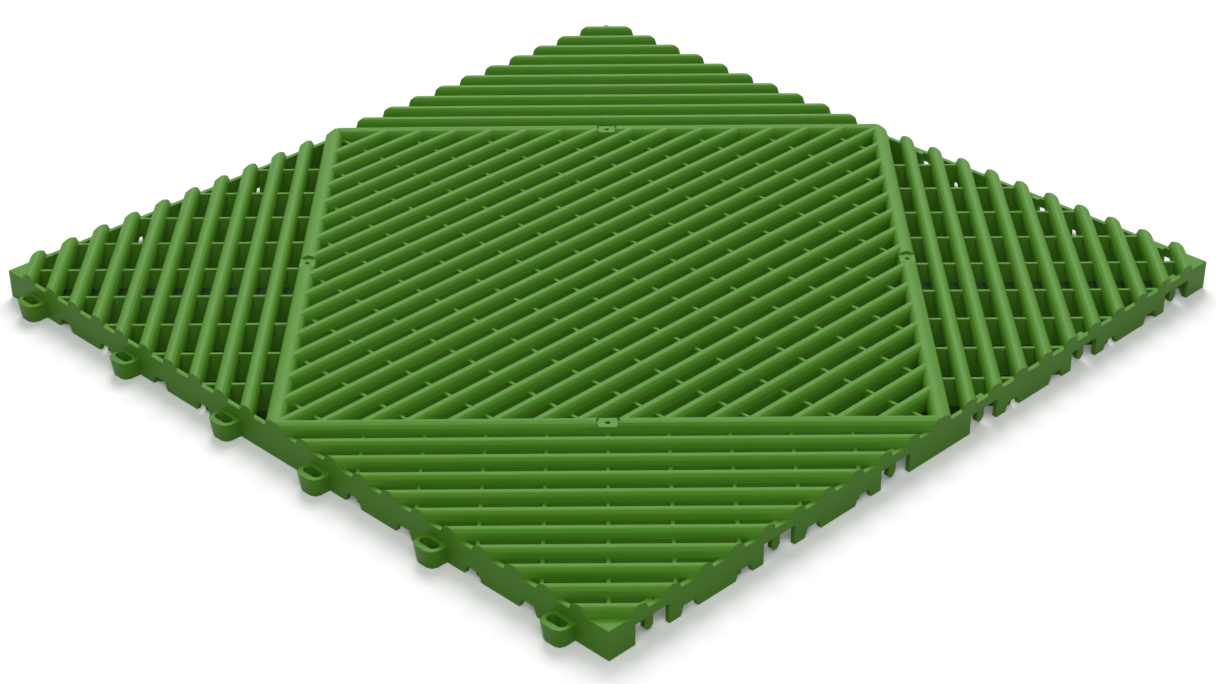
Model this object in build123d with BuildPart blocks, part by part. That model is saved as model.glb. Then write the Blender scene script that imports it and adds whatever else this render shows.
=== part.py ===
"""Interlocking terrace tile: one injection moulding, an open ribbed deck 400 mm square.

The deck has a diamond frame that joins the middles of the four sides. Inside it the round-topped bars run
along X. In the four corners they run along the frame side that they face. Thin webs stand under the bars at
every second pitch, square to them. Loops stand out from two sides, and pegs hang in notches of the two
others.
The origin is the middle of the square on the floor, X and Y run along the sides and Z is up.
"""
import math
import os

from build123d import *

# Deck, in millimetres
SIDE = 400.0
CREST = 18.0
BAR_PITCH = SIDE / 31
BAR_WIDTH = 7.0
BAR_BOTTOM = 10.0
BAR_CHORDS = 4
FRAME_WIDTH = 9.0
CENTRE_BARS = 29
FIRST_CORNER_BAR = 12
CORNER_BARS = 10

# Webs under the bars and the wall round the tile, all up to the height at which the bars' round tops begin
WEB_PITCH = 2 * BAR_PITCH
WEB_THICKNESS = 1.8
WEB_TOP = 14.0
CENTRE_WEBS = 15
CORNER_WEBS = 9
DIAGONAL_WEB_BOTTOM = 4.0
WALL_THICKNESS = 2.4
CORNER_POST = 12.0

# Drain arches in the foot of the wall
ARCH_FOOT = 10.0
ARCH_HEAD = 6.6
ARCH_HEIGHT = 4.2
ARCH_OFFSET = 15.8
ARCH_SLOPE = math.degrees(math.atan2(2 * ARCH_HEIGHT, ARCH_FOOT - ARCH_HEAD))

# Connectors: the same stations on every side, measured from its middle
STATIONS = (30.0, 103.1, 176.2)
LOOP_WIDTH = 11.2
LOOP_REACH = 8.2
LOOP_HEIGHT = 8.9
LOOP_DRAFT = 7.0
LOOP_CORNER = 3.3
SLOT_LENGTH = 9.7
SLOT_WIDTH = 4.7
SLOT_STANDOFF = 1.7
NOTCH_WIDTH = 18.6
NOTCH_DEPTH = 10.5
NOTCH_TOP = 9.4
PEG_WIDTH = 4.7
PEG_THICKNESS = 2.5
PEG_SETBACK = 2.0
PEG_TIP = 1.3
PEG_CORNER = 1.6
CORNER_CHORDS = 2

# Injection points: a sunk round in the middle of each frame side, with a dimple
GATE_DIAMETER = 10.4
GATE_FLOOR = 16.5
GATE_SIDES = 8
DIMPLE_DIAMETER = 2.3
DIMPLE_DEPTH = 1.0
DIMPLE_SIDES = 6

HALF = SIDE / 2
DIAGONAL = HALF * math.sqrt(2)
FRAME_REACH = DIAGONAL / 2
QUARTERS = (45, 135, 225, 315)
LOOP_SIDES = (90, 180)
PEG_SIDES = (0, 270)


def bearing(angle):
    """Unit vector in plan at an angle from +X, in degrees."""
    return Vector(math.cos(math.radians(angle)), math.sin(math.radians(angle)), 0)


def section_plane(angle, back):
    """Plane square to bars that lie across this bearing, set back along them: local x outward, y up."""
    along = bearing(angle - 90)
    return Plane(origin=along * -back, x_dir=bearing(angle), z_dir=along)


def field_plane(angle, height=0):
    """Level plane with its local x along this bearing."""
    return Plane(origin=(0, 0, height), x_dir=bearing(angle), z_dir=(0, 0, 1))


def side_plane(angle):
    """Outer face of the side with this outward normal: local x along the side, local y up."""
    return Plane(origin=bearing(angle) * HALF, x_dir=bearing(angle + 90), z_dir=bearing(angle))


def stations(side):
    """The six connector places of a side, on its outer face at the floor, local x outward."""
    return [field_plane(side).location * Location((HALF, sign * station, 0)) for sign in (-1, 1)
            for station in STATIONS]


def bar_profile(width):
    """Section of a bar: straight flanks, a top rounded in chords, and a flat where it is wider than a rib."""
    flat = (width - BAR_WIDTH) / 2
    rise = CREST - WEB_TOP
    turns = [math.pi * k / BAR_CHORDS for k in range(BAR_CHORDS // 2 + 1)]
    right = [(flat + BAR_WIDTH / 2 * math.cos(turn), WEB_TOP + rise * math.sin(turn)) for turn in turns]
    left = [(-x, y) for x, y in reversed(right)]
    if flat == 0:
        left = left[1:]
    with BuildSketch() as profile:
        with BuildLine():
            Polyline((-width / 2, BAR_BOTTOM), (width / 2, BAR_BOTTOM), *right, *left, close=True)
        make_face()
    return profile.sketch


def blunt_strip(start, end, width, corner, chords):
    """Strip along local x from start to end, its two far corners rounded in so many chords."""
    turns = [math.pi / 2 * k / chords for k in range(chords + 1)]
    side = width / 2 - corner
    upper = [(end - corner + corner * math.sin(turn), side + corner * math.cos(turn)) for turn in turns]
    lower = [(x, -y) for x, y in reversed(upper)]
    with BuildSketch() as strip:
        with BuildLine():
            Polyline((start, width / 2), *upper, *lower, (start, -width / 2), close=True)
        make_face()
    return strip.sketch


RIB = bar_profile(BAR_WIDTH)
FRAME_BAR = bar_profile(FRAME_WIDTH)

# Bars of the middle field, cut off at the frame's centre line
with BuildPart() as centre_bars:
    with BuildSketch(section_plane(90, HALF)):
        with GridLocations(BAR_PITCH, 0, CENTRE_BARS, 1):
            add(RIB)
    extrude(amount=SIDE)
    with BuildSketch():
        Rectangle(DIAGONAL, DIAGONAL, rotation=45)
    extrude(amount=2 * CREST, mode=Mode.INTERSECT)

# Frame bars and corner bars, cut off flush with the outside of the wall
with BuildPart() as corner_bars:
    with BuildSketch(*[section_plane(quarter, FRAME_REACH + FRAME_WIDTH) for quarter in QUARTERS]):
        with Locations((FRAME_REACH, 0)):
            add(FRAME_BAR)
        with Locations(*[(BAR_PITCH * (FIRST_CORNER_BAR + k), 0) for k in range(CORNER_BARS)]):
            add(RIB)
    extrude(amount=2 * (FRAME_REACH + FRAME_WIDTH))
    with BuildSketch():
        Rectangle(SIDE, SIDE)
    extrude(amount=2 * CREST, mode=Mode.INTERSECT)

# Plan of the webs, in the middle field and in the corners
with BuildSketch() as centre_webs:
    with GridLocations(WEB_PITCH, 0, CENTRE_WEBS, 1):
        Rectangle(WEB_THICKNESS, SIDE)
    Rectangle(DIAGONAL, DIAGONAL, rotation=45, mode=Mode.INTERSECT)

with BuildSketch() as corner_webs:
    with PolarLocations(1.5 * FRAME_REACH, 4, start_angle=45):
        with GridLocations(0, WEB_PITCH, 1, CORNER_WEBS):
            Rectangle(FRAME_REACH, WEB_THICKNESS)
    Rectangle(DIAGONAL, DIAGONAL, rotation=45, mode=Mode.SUBTRACT)

# One loop, at the middle of a side's outer face: its outside leans out, its round-ended slot is straight
with BuildPart() as loop:
    with BuildSketch():
        add(blunt_strip(-WALL_THICKNESS / 2, LOOP_REACH, LOOP_WIDTH, LOOP_CORNER, CORNER_CHORDS))
    extrude(amount=LOOP_HEIGHT, taper=-LOOP_DRAFT)
    with BuildSketch():
        with Locations((SLOT_STANDOFF + SLOT_WIDTH / 2, 0)):
            SlotOverall(SLOT_LENGTH, SLOT_WIDTH, rotation=90)
    extrude(amount=LOOP_HEIGHT, mode=Mode.SUBTRACT)

# One peg: a blunt-tipped tongue behind the wall, hanging down
with BuildPart() as peg:
    with BuildSketch(Plane(origin=(-PEG_SETBACK, 0, 0), x_dir=(0, 0, -1), z_dir=(1, 0, 0))):
        add(blunt_strip(-WEB_TOP, -PEG_TIP, PEG_WIDTH, PEG_CORNER, 1))
    extrude(amount=-PEG_THICKNESS)

with BuildPart() as terrace_tile:
    # Wall round the tile with a solid post in each corner, the web under each frame bar and the other webs
    with BuildSketch():
        Rectangle(SIDE, SIDE)
        Rectangle(SIDE - 2 * WALL_THICKNESS, SIDE - 2 * WALL_THICKNESS, mode=Mode.SUBTRACT)
        with PolarLocations(DIAGONAL - CORNER_POST / 2, 4, start_angle=45):
            Rectangle(CORNER_POST, 2 * CORNER_POST)
        with PolarLocations(FRAME_REACH, 4, start_angle=45):
            Rectangle(WEB_THICKNESS, DIAGONAL)
        add(centre_webs.sketch)
        add(corner_webs.sketch)
        Rectangle(SIDE, SIDE, mode=Mode.INTERSECT)
    extrude(amount=WEB_TOP)

    # The web on each corner's diagonal stops short of the floor
    with BuildSketch(*[field_plane(quarter) for quarter in QUARTERS]):
        with Locations(((FRAME_REACH + DIAGONAL - CORNER_POST) / 2, 0)):
            Rectangle(DIAGONAL - CORNER_POST - FRAME_REACH - 2 * WEB_THICKNESS, 2 * WEB_THICKNESS)
    extrude(amount=DIAGONAL_WEB_BOTTOM, mode=Mode.SUBTRACT)

    add(corner_bars.part)
    add(centre_bars.part)

    # Drain arches through the foot of all four sides
    with BuildSketch(*[side_plane(90 * k) for k in range(4)]):
        middles = [(a + b) / 2 for a, b in zip(STATIONS, STATIONS[1:])]
        places = [sign * (middle + shift) for sign in (-1, 1) for middle in middles
                  for shift in (-ARCH_OFFSET, ARCH_OFFSET)]
        with Locations(*[(place, 0) for place in places]):
            Trapezoid(ARCH_FOOT, ARCH_HEIGHT, ARCH_SLOPE, align=(Align.CENTER, Align.MIN))
    extrude(amount=-WALL_THICKNESS, mode=Mode.SUBTRACT)

    # Notches with their pockets in the two peg sides, each taking a neighbour's loop
    with Locations(*[place for side in PEG_SIDES for place in stations(side)]):
        Box(NOTCH_DEPTH, NOTCH_WIDTH, NOTCH_TOP, align=(Align.MAX, Align.CENTER, Align.MIN),
            mode=Mode.SUBTRACT)
        add(peg.part)
    with Locations(*[place for side in LOOP_SIDES for place in stations(side)]):
        add(loop.part)

    # Injection points
    with BuildSketch(*[field_plane(quarter, GATE_FLOOR) for quarter in QUARTERS]):
        with Locations((FRAME_REACH, 0)):
            RegularPolygon(GATE_DIAMETER / 2, GATE_SIDES)
    extrude(amount=CREST, mode=Mode.SUBTRACT)
    with BuildSketch(*[field_plane(quarter, GATE_FLOOR - DIMPLE_DEPTH) for quarter in QUARTERS]):
        with Locations((FRAME_REACH, 0)):
            RegularPolygon(DIMPLE_DIAMETER / 2, DIMPLE_SIDES)
    extrude(amount=CREST, mode=Mode.SUBTRACT)

print("volume cm3", round(terrace_tile.part.volume / 1000, 1), "solids", len(terrace_tile.part.solids()),
      "faces", len(terrace_tile.part.faces()))
os.makedirs("parts", exist_ok=True)
terrace_tile.part.label = "terrace_tile"
export_step(terrace_tile.part, "parts/terrace_tile.step")
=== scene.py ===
"""Dressed terrace tile: one green polypropylene moulding on a pale studio floor.

The tile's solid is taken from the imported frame, welded, softened along its moulded edges and given its
finish. Lengths in the dataclasses are millimetres unless a name says otherwise. Blender works in metres.
"""
import logging
import math
from dataclasses import dataclass
from enum import Enum
from typing import Any, Iterable, Mapping, Optional

import bpy
import numpy as np
from mathutils import Matrix, Vector


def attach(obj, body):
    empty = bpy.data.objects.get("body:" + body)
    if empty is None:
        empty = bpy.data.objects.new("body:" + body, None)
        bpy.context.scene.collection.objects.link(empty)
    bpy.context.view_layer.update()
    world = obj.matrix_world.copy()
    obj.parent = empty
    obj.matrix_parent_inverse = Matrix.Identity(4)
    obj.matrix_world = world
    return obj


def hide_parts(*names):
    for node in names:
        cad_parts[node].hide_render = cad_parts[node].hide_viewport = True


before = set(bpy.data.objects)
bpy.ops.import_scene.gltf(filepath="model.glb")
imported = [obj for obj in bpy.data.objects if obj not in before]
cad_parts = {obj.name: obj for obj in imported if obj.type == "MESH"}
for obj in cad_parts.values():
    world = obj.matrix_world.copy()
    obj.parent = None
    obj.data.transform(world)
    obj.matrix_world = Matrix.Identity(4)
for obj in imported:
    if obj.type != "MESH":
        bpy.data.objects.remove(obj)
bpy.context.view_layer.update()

LOG = logging.getLogger("terrace_tile")
MM = 0.001
SRGB_TOE_END = 0.04045
SRGB_TOE_SLOPE = 12.92
SRGB_OFFSET = 0.055
SRGB_POWER = 2.4


class LampRole(Enum):
    """The soft lamps of the studio."""

    BACK = "back_softbox"
    FILL = "fill_softbox"
    STRIP = "back_strip"


def linear_colour(hex_code: str) -> tuple[float, float, float, float]:
    """Turn an sRGB hex colour into linear values.

    Args:
        hex_code: Colour such as "#4f8f2a".

    Returns:
        Linear red, green, blue and an alpha of one.
    """
    digits = hex_code.lstrip("#")
    channels = [int(digits[place:place + 2], 16) / 255 for place in (0, 2, 4)]
    low = [channel / SRGB_TOE_SLOPE for channel in channels]
    high = [((channel + SRGB_OFFSET) / (1 + SRGB_OFFSET)) ** SRGB_POWER for channel in channels]
    red, green, blue = (a if c <= SRGB_TOE_END else b for a, b, c in zip(low, high, channels))
    return red, green, blue, 1.0


def add_node(
    tree: bpy.types.NodeTree,
    kind: str,
    settings: Optional[Mapping[str, Any]] = None,
    values: Optional[Mapping[Any, Any]] = None,
    links: Optional[Mapping[Any, bpy.types.NodeSocket]] = None,
) -> bpy.types.Node:
    """Add one shader node with its settings, socket values and incoming links.

    Args:
        tree: Node tree that takes the node.
        kind: Blender's type name of the node.
        settings: Properties set on the node itself.
        values: Constants for input sockets, by name or index.
        links: Output sockets of other nodes, by the name or index of the input they feed.

    Returns:
        The new node.
    """
    node = tree.nodes.new(kind)
    for name, value in (settings or {}).items():
        setattr(node, name, value)
    for name, value in (values or {}).items():
        node.inputs[name].default_value = value
    for name, socket in (links or {}).items():
        tree.links.new(socket, node.inputs[name])
    return node


def background_ray(tree: bpy.types.NodeTree) -> bpy.types.NodeSocket:
    """Tell rays that show the background from rays that only carry light.

    Args:
        tree: Node tree of the floor or of the surround.

    Returns:
        One for camera, glossy and transmission rays, zero for the others.
    """
    ray = add_node(tree, "ShaderNodeLightPath")
    seen = add_node(tree, "ShaderNodeMath", {"operation": "MAXIMUM"}, {},
                    {0: ray.outputs["Is Camera Ray"], 1: ray.outputs["Is Glossy Ray"]}).outputs[0]
    return add_node(tree, "ShaderNodeMath", {"operation": "MAXIMUM"}, {},
                    {0: seen, 1: ray.outputs["Is Transmission Ray"]}).outputs[0]


@dataclass(frozen=True)
class MouldedPolypropylene:
    """Leaf-green polypropylene, moulded in a lightly grained steel tool.

    To the eye: a satin skin with a broad soft highlight, colour that drifts a little along the melt's flow,
    and faint changes of gloss in rings round the four injection points. The tool's grain is drawn coarser
    than a real one, about 1 mm, so that it shows.
    """

    name: str = "moulded_polypropylene_green"
    colour: str = "#4e8a20"
    thin_melt: str = "#568e27"
    ior: float = 1.49
    sheen: float = 0.16
    roughness: float = 0.45
    roughness_drift: float = 0.04
    flow_size: float = 42.0
    flow_detail: float = 3.0
    drift_low: float = 0.2
    drift_high: float = 0.8
    grain_size: float = 1.1
    grain_detail: float = 2.0
    grain_depth: float = 0.012
    grain_strength: float = 0.5
    ring_pitch: float = 23.0
    ring_strength: float = 0.12
    gate_reach: float = 100.0

    def build(self) -> bpy.types.Material:
        """Make the finish.

        Returns:
            The material, on Object coordinates scaled to millimetres.
        """
        material = bpy.data.materials.new(self.name)
        material.use_nodes = True
        tree = material.node_tree
        tree.nodes.clear()
        place = add_node(tree, "ShaderNodeTexCoord")
        millimetres = add_node(tree, "ShaderNodeVectorMath", {"operation": "SCALE"}, {"Scale": 1 / MM},
                               {0: place.outputs["Object"]}).outputs[0]
        flow = add_node(tree, "ShaderNodeTexNoise", {},
                        {"Scale": 1 / self.flow_size, "Detail": self.flow_detail},
                        {"Vector": millimetres}).outputs[0]
        grain = add_node(tree, "ShaderNodeTexNoise", {},
                         {"Scale": 1 / self.grain_size, "Detail": self.grain_detail},
                         {"Vector": millimetres}).outputs[0]
        folded = add_node(tree, "ShaderNodeVectorMath", {"operation": "ABSOLUTE"}, {},
                          {0: millimetres}).outputs[0]
        from_gate = add_node(tree, "ShaderNodeVectorMath", {"operation": "DISTANCE"},
                             {1: (self.gate_reach, self.gate_reach, 0.0)}, {0: folded}).outputs["Value"]
        ring_turn = add_node(tree, "ShaderNodeMath", {"operation": "MULTIPLY"},
                             {1: 2 * math.pi / self.ring_pitch}, {0: from_gate}).outputs[0]
        rings = add_node(tree, "ShaderNodeMath", {"operation": "SINE"}, {}, {0: ring_turn}).outputs[0]
        drift = add_node(tree, "ShaderNodeMath", {"operation": "MULTIPLY_ADD"}, {1: self.ring_strength},
                         {0: rings, 2: flow}).outputs[0]
        colour = add_node(tree, "ShaderNodeMix", {"data_type": "RGBA"},
                          {"A": linear_colour(self.colour), "B": linear_colour(self.thin_melt)},
                          {"Factor": drift}).outputs["Result"]
        gloss = add_node(tree, "ShaderNodeMapRange", {},
                         {"From Min": self.drift_low, "From Max": self.drift_high,
                          "To Min": self.roughness - self.roughness_drift,
                          "To Max": self.roughness + self.roughness_drift},
                         {"Value": drift}).outputs[0]
        relief = add_node(tree, "ShaderNodeBump", {},
                          {"Strength": self.grain_strength, "Distance": self.grain_depth * MM},
                          {"Height": grain}).outputs[0]
        shader = add_node(tree, "ShaderNodeBsdfPrincipled", {},
                          {"IOR": self.ior, "Specular IOR Level": self.sheen},
                          {"Base Color": colour, "Roughness": gloss, "Normal": relief})
        add_node(tree, "ShaderNodeOutputMaterial", {}, {}, {"Surface": shader.outputs[0]})
        return material


def edge_turns(mesh: bpy.types.Mesh) -> tuple[np.ndarray, np.ndarray]:
    """Measure how the two faces at every edge of a closed mesh meet.

    The turn is the angle between the two normals. An edge is convex where the middle of the second face lies
    behind the plane of the first. Edges without exactly two faces count as flat.

    Args:
        mesh: A mesh with faces of any number of sides.

    Returns:
        The turn in degrees and whether the edge is convex, for every edge.
    """
    faces = len(mesh.polygons)
    normals = np.empty(faces * 3, np.float32)
    middles = np.empty(faces * 3, np.float32)
    sides = np.empty(faces, np.int32)
    mesh.polygons.foreach_get("normal", normals)
    mesh.polygons.foreach_get("center", middles)
    mesh.polygons.foreach_get("loop_total", sides)
    normals = normals.reshape(-1, 3)
    middles = middles.reshape(-1, 3)
    edge_of_corner = np.empty(len(mesh.loops), np.int32)
    mesh.loops.foreach_get("edge_index", edge_of_corner)
    face_of_corner = np.repeat(np.arange(faces), sides)
    in_order = np.argsort(edge_of_corner, kind="stable")
    used = np.bincount(edge_of_corner, minlength=len(mesh.edges))
    first = np.cumsum(used) - used
    paired = used == 2
    one = face_of_corner[in_order[first[paired]]]
    other = face_of_corner[in_order[first[paired] + 1]]
    turn = np.zeros(len(mesh.edges))
    convex = np.ones(len(mesh.edges), bool)
    turn[paired] = np.degrees(np.arccos(np.clip((normals[one] * normals[other]).sum(axis=1), -1, 1)))
    convex[paired] = ((middles[other] - middles[one]) * normals[one]).sum(axis=1) < 0
    return turn, convex


@dataclass
class TerraceTile:
    """The one moulding: its welded solid with full round bar tops and softened edges.

    The solid's bars have tops of four chords. Their crest and shoulders are lifted a little and then
    rounded, so that the rounds follow the bars' true half oval.
    """

    node: str = "terrace_tile"
    body: str = "root"
    slot: str = "moulded_polypropylene"
    piece_name: str = "dressed_terrace_tile"
    weld_step: float = 0.002
    smooth_below: float = 56.0
    slight_turn: float = 22.0
    least_corner: float = 6.0
    spring: float = 14.0
    crest: float = 18.0
    shoulder: float = spring + (crest - spring) * math.sin(math.pi / 4)
    shoulder_lift: float = 0.32
    crest_lift: float = 0.20
    top_begins: float = 14.5
    top_round: float = 1.3
    edge_round: float = 0.3
    shortest_edge: float = 0.8
    edge_segments: int = 3

    def welded(self, cad: bpy.types.Object) -> tuple[np.ndarray, np.ndarray]:
        """Weld the loose triangles of the solid and fill out the bars' tops.

        Points that round to the same step on all three axes become one vertex. Above the spring line heights
        are stretched in two straight steps, up to the shoulder and on to the crest, so flat faces stay flat.

        Args:
            cad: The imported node's object.

        Returns:
            Vertices in metres, and triangles as rows of vertex numbers.
        """
        count = len(cad.data.vertices)
        points = np.empty(count * 3, np.float32)
        cad.data.vertices.foreach_get("co", points)
        points = points.reshape(-1, 3).astype(float)
        corners = np.empty(len(cad.data.loops), np.int32)
        cad.data.loops.foreach_get("vertex_index", corners)
        keys = np.round(points / (self.weld_step * MM)).astype(np.int64)
        _, first, number = np.unique(keys, axis=0, return_index=True, return_inverse=True)
        triangles = number.reshape(-1)[corners].reshape(-1, 3)
        whole = ((triangles[:, 0] != triangles[:, 1]) & (triangles[:, 1] != triangles[:, 2])
                 & (triangles[:, 2] != triangles[:, 0]))
        points = points[first]
        levels = np.array([self.spring, self.shoulder, self.crest]) * MM
        lifts = np.array([0.0, self.shoulder_lift, self.crest_lift]) * MM
        points[:, 2] += np.interp(points[:, 2], levels, lifts)
        return points, triangles[whole]

    def edge_rounds(self, mesh: bpy.types.Mesh) -> np.ndarray:
        """Say how far each edge of the closed solid is rounded.

        Slight convex turns above the spring line belong to the bars' round tops. Of the others the sharp
        convex ones are rounded a little, apart from those beside a very short edge.

        Args:
            mesh: The welded solid.

        Returns:
            A rounding in millimetres for every edge.
        """
        turn, convex = edge_turns(mesh)
        ends = np.empty(len(mesh.edges) * 2, np.int32)
        mesh.edges.foreach_get("vertices", ends)
        ends = ends.reshape(-1, 2)
        points = np.empty(len(mesh.vertices) * 3, np.float32)
        mesh.vertices.foreach_get("co", points)
        points = points.reshape(-1, 3) / MM
        short = np.linalg.norm(points[ends[:, 0]] - points[ends[:, 1]], axis=1) < self.shortest_edge
        crowded = np.zeros(len(points), bool)
        crowded[ends[short]] = True
        height = points[ends, 2].min(axis=1)
        slight = (turn > self.slight_turn) & (turn < self.smooth_below)
        round_top = convex & slight & (height > self.top_begins)
        plain = convex & (turn > self.smooth_below) & ~crowded[ends].any(axis=1)
        return np.where(round_top, self.top_round, np.where(plain, self.edge_round, 0.0)).astype(np.float32)

    def softened(self, piece: bpy.types.Object) -> bpy.types.Mesh:
        """Round the piece's edges and mark the edges that stay crisp.

        An edge is crisp where its two faces turn sharply, and where they meet in an inner corner.

        Args:
            piece: The welded solid with its roundings stored on its edges.

        Returns:
            The rounded mesh.
        """
        rounder = piece.modifiers.new("moulded_edges", "BEVEL")
        rounder.width = self.top_round * MM
        rounder.segments = self.edge_segments
        rounder.limit_method = "WEIGHT"
        rounder.use_clamp_overlap = False
        rounder.loop_slide = False
        graph = bpy.context.evaluated_depsgraph_get()
        mesh = bpy.data.meshes.new_from_object(piece.evaluated_get(graph))
        piece.modifiers.remove(rounder)
        turn, convex = edge_turns(mesh)
        crisp = (turn > self.smooth_below) | (~convex & (turn > self.least_corner))
        mesh.edges.foreach_set("use_edge_sharp", crisp)
        mesh.polygons.foreach_set("use_smooth", np.ones(len(mesh.polygons), bool))
        mesh.name = self.piece_name
        return mesh

    def build(self, cad: bpy.types.Object) -> bpy.types.Object:
        """Make the dressed tile.

        Args:
            cad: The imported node's object, which stays as it is.

        Returns:
            The new piece, at the origin, with its edges softened.
        """
        points, triangles = self.welded(cad)
        solid = bpy.data.meshes.new("welded_solid")
        solid.from_pydata(points.tolist(), [], triangles.tolist())
        weights = solid.attributes.new("bevel_weight_edge", "FLOAT", "EDGE")
        weights.data.foreach_set("value", self.edge_rounds(solid) / self.top_round)
        piece = bpy.data.objects.new(self.piece_name, solid)
        bpy.context.scene.collection.objects.link(piece)
        piece.data = self.softened(piece)
        bpy.data.meshes.remove(solid)
        flats = piece.modifiers.new("flat_faces_stay_flat", "WEIGHTED_NORMAL")
        flats.mode = "FACE_AREA"
        flats.keep_sharp = True
        return piece

    def dress(self, piece: bpy.types.Object, finish: bpy.types.Material) -> None:
        """Give the piece its finish and its place in the frame.

        Args:
            piece: The dressed tile.
            finish: The moulded polypropylene.
        """
        piece.data.materials.append(finish)
        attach(piece, self.body)
        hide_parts(self.node)


@dataclass(frozen=True)
class PaleFloor:
    """Matt white studio floor.

    It is white to the camera, keeps the soft shadow, and shows a dark green painted shade right under the
    tile.
    """

    name: str = "matt_white_floor"
    colour: str = "#fbfbfb"
    bounce: str = "#a0a0a0"
    # Painted shade: the dark green the camera sees on the floor under the tile, standing in for its shadow.
    painted_shade_under_tile: str = "#3c5a34"
    covered_bounce: str = "#f4f4f4"
    lift: float = 0.10
    covered_half: float = 196.0
    covered_shift: float = 7.0
    covered_fade: float = 4.0
    half_size: float = 6000.0

    def open_part(self, tree: bpy.types.NodeTree) -> bpy.types.NodeSocket:
        """Tell the open floor from the part that the tile covers.

        A point is covered where the larger of its two distances from the covered square's middle lines is
        within its half side, with a soft edge. The shade under the tile is painted on this square. It lies a
        little to the back, so the painted shade reaches the back walls and stops some way inside the near
        walls.

        Args:
            tree: Node tree of the floor's material.

        Returns:
            One on the open floor, zero under the tile.
        """
        place = add_node(tree, "ShaderNodeTexCoord")
        shift = self.covered_shift * MM
        moved = add_node(tree, "ShaderNodeVectorMath", {"operation": "SUBTRACT"}, {1: (shift, shift, 0.0)},
                         {0: place.outputs["Object"]}).outputs[0]
        folded = add_node(tree, "ShaderNodeVectorMath", {"operation": "ABSOLUTE"}, {},
                          {0: moved}).outputs[0]
        sides = add_node(tree, "ShaderNodeSeparateXYZ", {}, {}, {0: folded})
        reach = add_node(tree, "ShaderNodeMath", {"operation": "MAXIMUM"}, {},
                         {0: sides.outputs["X"], 1: sides.outputs["Y"]}).outputs[0]
        return add_node(tree, "ShaderNodeMapRange", {},
                        {"From Min": (self.covered_half - self.covered_fade) * MM,
                         "From Max": self.covered_half * MM}, {"Value": reach}).outputs[0]

    def surface(self, tree: bpy.types.NodeTree) -> bpy.types.NodeSocket:
        """Make the floor's shader.

        Rays that show the background see the floor white and slightly lifted, or, where the tile covers it,
        a dark green painted shade. Rays that only carry light get the bounce colours.

        Args:
            tree: Node tree of the floor's material.

        Returns:
            The shader.
        """
        open_part = self.open_part(tree)
        shown = background_ray(tree)
        # Painted shade: under the tile the camera sees a dark green colour in place of the white floor.
        seen = add_node(tree, "ShaderNodeMix", {"data_type": "RGBA"},
                        {"A": linear_colour(self.painted_shade_under_tile), "B": linear_colour(self.colour)},
                        {"Factor": open_part}).outputs["Result"]
        bounced = add_node(tree, "ShaderNodeMix", {"data_type": "RGBA"},
                           {"A": linear_colour(self.covered_bounce), "B": linear_colour(self.bounce)},
                           {"Factor": open_part}).outputs["Result"]
        colour = add_node(tree, "ShaderNodeMix", {"data_type": "RGBA"}, {},
                          {"A": bounced, "B": seen, "Factor": shown}).outputs["Result"]
        matt = add_node(tree, "ShaderNodeBsdfDiffuse", {}, {}, {"Color": colour})
        lifted = add_node(tree, "ShaderNodeMath", {"operation": "MULTIPLY"}, {}, {0: shown, 1: open_part})
        strength = add_node(tree, "ShaderNodeMath", {"operation": "MULTIPLY"}, {1: self.lift},
                            {0: lifted.outputs[0]})
        glow = add_node(tree, "ShaderNodeEmission", {}, {}, {"Strength": strength.outputs[0]})
        return add_node(tree, "ShaderNodeAddShader", {}, {},
                        {0: matt.outputs[0], 1: glow.outputs[0]}).outputs[0]

    def build(self) -> bpy.types.Object:
        """Make the floor plane that the tile stands on.

        Returns:
            The floor's object, marked as stage.
        """
        reach = self.half_size * MM
        mesh = bpy.data.meshes.new(self.name)
        corners = np.array([[-1, -1, 0], [1, -1, 0], [1, 1, 0], [-1, 1, 0]], float) * reach
        mesh.from_pydata(corners.tolist(), [], [[0, 1, 2, 3]])
        floor = bpy.data.objects.new(self.name, mesh)
        bpy.context.scene.collection.objects.link(floor)
        material = bpy.data.materials.new(self.name)
        material.use_nodes = True
        tree = material.node_tree
        tree.nodes.clear()
        add_node(tree, "ShaderNodeOutputMaterial", {}, {}, {"Surface": self.surface(tree)})
        mesh.materials.append(material)
        return floor


@dataclass(frozen=True)
class Softbox:
    """A rectangular soft lamp aimed at the tile.

    The large ones are too well spread to show in the satin skin, so only a mirrored lamp does.
    """

    role: LampRole
    place: tuple[float, float, float]
    width: float
    height: float
    watts: float
    mirrored: bool = False

    def build(self) -> bpy.types.Object:
        """Make the lamp.

        Returns:
            The lamp's object, turned to the middle of the tile.
        """
        lamp = bpy.data.lights.new(self.role.value, "AREA")
        lamp.shape = "RECTANGLE"
        lamp.size = self.width * MM
        lamp.size_y = self.height * MM
        lamp.energy = self.watts
        holder = bpy.data.objects.new(self.role.value, lamp)
        bpy.context.scene.collection.objects.link(holder)
        stand = Vector(self.place) * MM
        holder.location = stand
        holder.rotation_euler = (-stand).to_track_quat("-Z", "Y").to_euler()
        holder.visible_glossy = self.mirrored
        return holder


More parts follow.
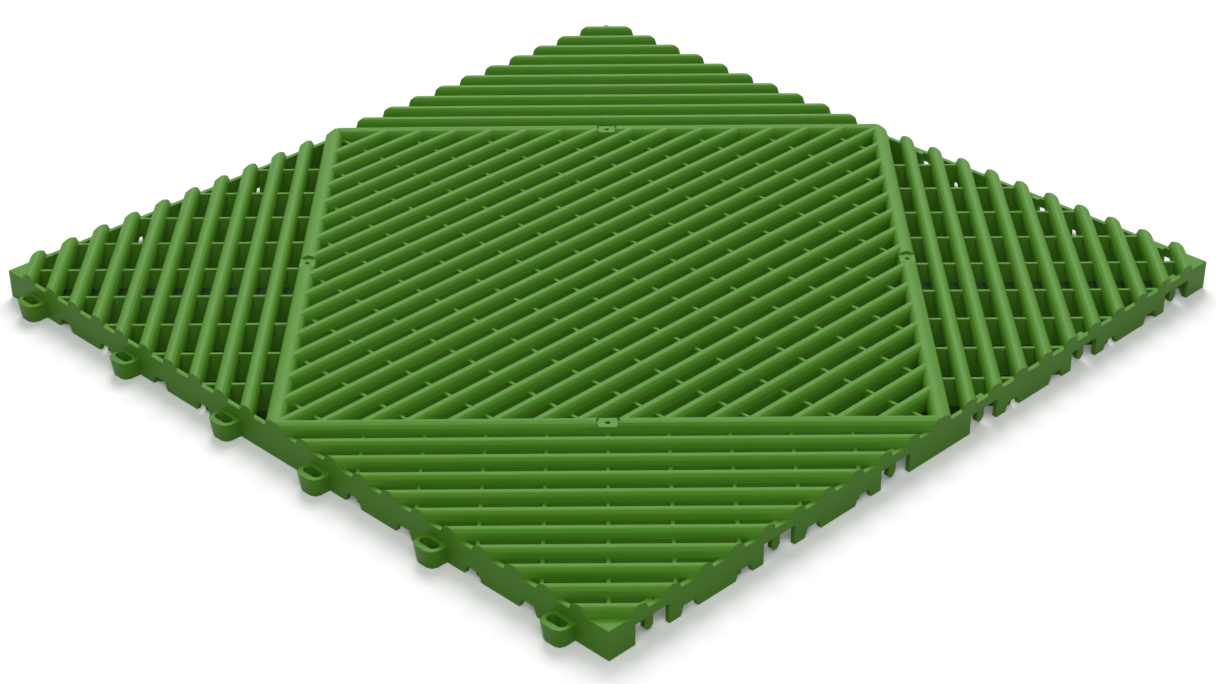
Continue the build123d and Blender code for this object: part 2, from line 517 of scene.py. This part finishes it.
@dataclass(frozen=True)
class PhotoCamera:
    """The photograph's view, over the tile's near corner.

    The camera stands on the diagonal, a little to one side, and looks down at it with a slight roll.
    """

    across: float = 2.346
    along: float = -1033.357
    height: float = 587.483
    yaw: float = -0.00226
    pitch: float = 0.53705
    roll: float = -0.00866
    focal_pixels: float = 2502.386
    image_width: float = 1216.0
    sensor_width: float = 36.0
    diagonal_degrees: float = -45.0
    nearest: float = 10.0
    farthest: float = 100000.0

    def build(self) -> bpy.types.Object:
        """Make the camera and set it as the scene's.

        The view is worked out in axes across and along the diagonal, then turned to the tile's own.

        Returns:
            The camera's object.
        """
        level_share = math.cos(self.pitch)
        forward = Vector((math.sin(self.yaw) * level_share, math.cos(self.yaw) * level_share,
                          -math.sin(self.pitch)))
        level = Vector((math.cos(self.yaw), -math.sin(self.yaw), 0.0))
        rise = level.cross(forward)
        right = math.cos(self.roll) * level + math.sin(self.roll) * rise
        up = -math.sin(self.roll) * level + math.cos(self.roll) * rise
        to_tile = Matrix.Rotation(math.radians(self.diagonal_degrees), 3, "Z")
        turn = Matrix((to_tile @ right, to_tile @ up, to_tile @ -forward)).transposed()
        stand = to_tile @ Vector((self.across, self.along, self.height)) * MM
        data = bpy.data.cameras.new("photo_camera")
        data.sensor_width = self.sensor_width
        data.lens = self.focal_pixels * self.sensor_width / self.image_width
        data.clip_start = self.nearest * MM
        data.clip_end = self.farthest * MM
        camera = bpy.data.objects.new("photo_camera", data)
        bpy.context.scene.collection.objects.link(camera)
        camera.matrix_world = Matrix.Translation(stand) @ turn.to_4x4()
        bpy.context.scene.camera = camera
        return camera


@dataclass
class Studio:
    """Floor, lamps, surrounding light and camera."""

    floor: PaleFloor
    lamps: Iterable[Softbox]
    camera: PhotoCamera
    surround: str = "#ffffff"
    surround_strength: float = 0.30
    shown_strength: float = 1.0

    def light_the_room(self) -> None:
        """Set the surrounding light: white where the camera or a reflection sees it, dimmer as a lamp."""
        world = bpy.data.worlds.new("studio_surround")
        world.use_nodes = True
        tree = world.node_tree
        tree.nodes.clear()
        strength = add_node(tree, "ShaderNodeMapRange", {},
                            {"To Min": self.surround_strength, "To Max": self.shown_strength},
                            {"Value": background_ray(tree)}).outputs[0]
        background = add_node(tree, "ShaderNodeBackground", {}, {"Color": linear_colour(self.surround)},
                              {"Strength": strength})
        add_node(tree, "ShaderNodeOutputWorld", {}, {}, {"Surface": background.outputs[0]})
        bpy.context.scene.world = world

    def build(self) -> None:
        """Set up the studio and the plain view transform."""
        bpy.context.scene.view_settings.view_transform = "Standard"
        self.light_the_room()
        fittings = [self.floor.build()]
        fittings += [lamp.build() for lamp in self.lamps]
        fittings.append(self.camera.build())
        for fitting in fittings:
            LOG.info("%s is set", fitting.name)


def main() -> None:
    """Build the tile and its studio."""
    logging.basicConfig(level=logging.INFO, format="%(name)s: %(message)s")
    tile = TerraceTile()
    piece = tile.build(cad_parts[tile.node])
    tile.dress(piece, MouldedPolypropylene().build())
    LOG.info("%s: %d faces", piece.name, len(piece.data.polygons))
    lamps = (
        Softbox(LampRole.BACK, place=(1000.0, 1000.0, 2450.0), width=1200.0, height=1200.0, watts=25.0),
        Softbox(LampRole.FILL, place=(-850.0, -850.0, 1300.0), width=1200.0, height=900.0, watts=9.0),
        Softbox(LampRole.STRIP, place=(1400.0, 1400.0, 1780.0), width=1600.0, height=600.0, watts=27.0,
                mirrored=True),
    )
    Studio(PaleFloor(), lamps, PhotoCamera()).build()


if __name__ == "__main__":
    main()
